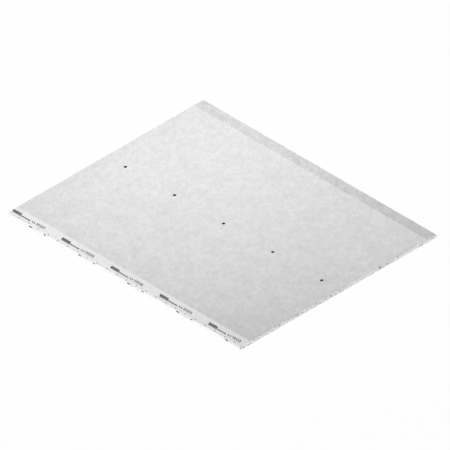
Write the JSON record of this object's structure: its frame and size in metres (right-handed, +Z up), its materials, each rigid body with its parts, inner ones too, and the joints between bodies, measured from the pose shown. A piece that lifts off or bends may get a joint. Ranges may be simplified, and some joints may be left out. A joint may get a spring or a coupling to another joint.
{
  "type": "drywall sheet",
  "caption": "Rectangular paper-faced gypsum board with square-cut ends and two paper-wrapped tapered long edges, for lining walls and ceilings.",
  "frame": {"origin": "middle of the underside, on the surface that the sheet lies on", "axes": "+X along the sheet's length, +Y across its width between the tapered edges, +Z up out of the face"},
  "size_m": [1.43, 1.2, 0.015],
  "materials": {
    "gypsum": "sawn and broken gypsum, chalky, full of small air bubbles",
    "face_paper": "matt pale grey board paper, faintly clouded, with printed edge marks",
    "back_paper": "matt grey recycled paper",
    "ink": "matt black printing ink, slightly worn, laid thinly on the face paper"
  },
  "bodies": {
    "root": {"gypsum_core": "gypsum", "face_paper": "face_paper", "back_paper": "back_paper"}
  },
  "joints": []
}
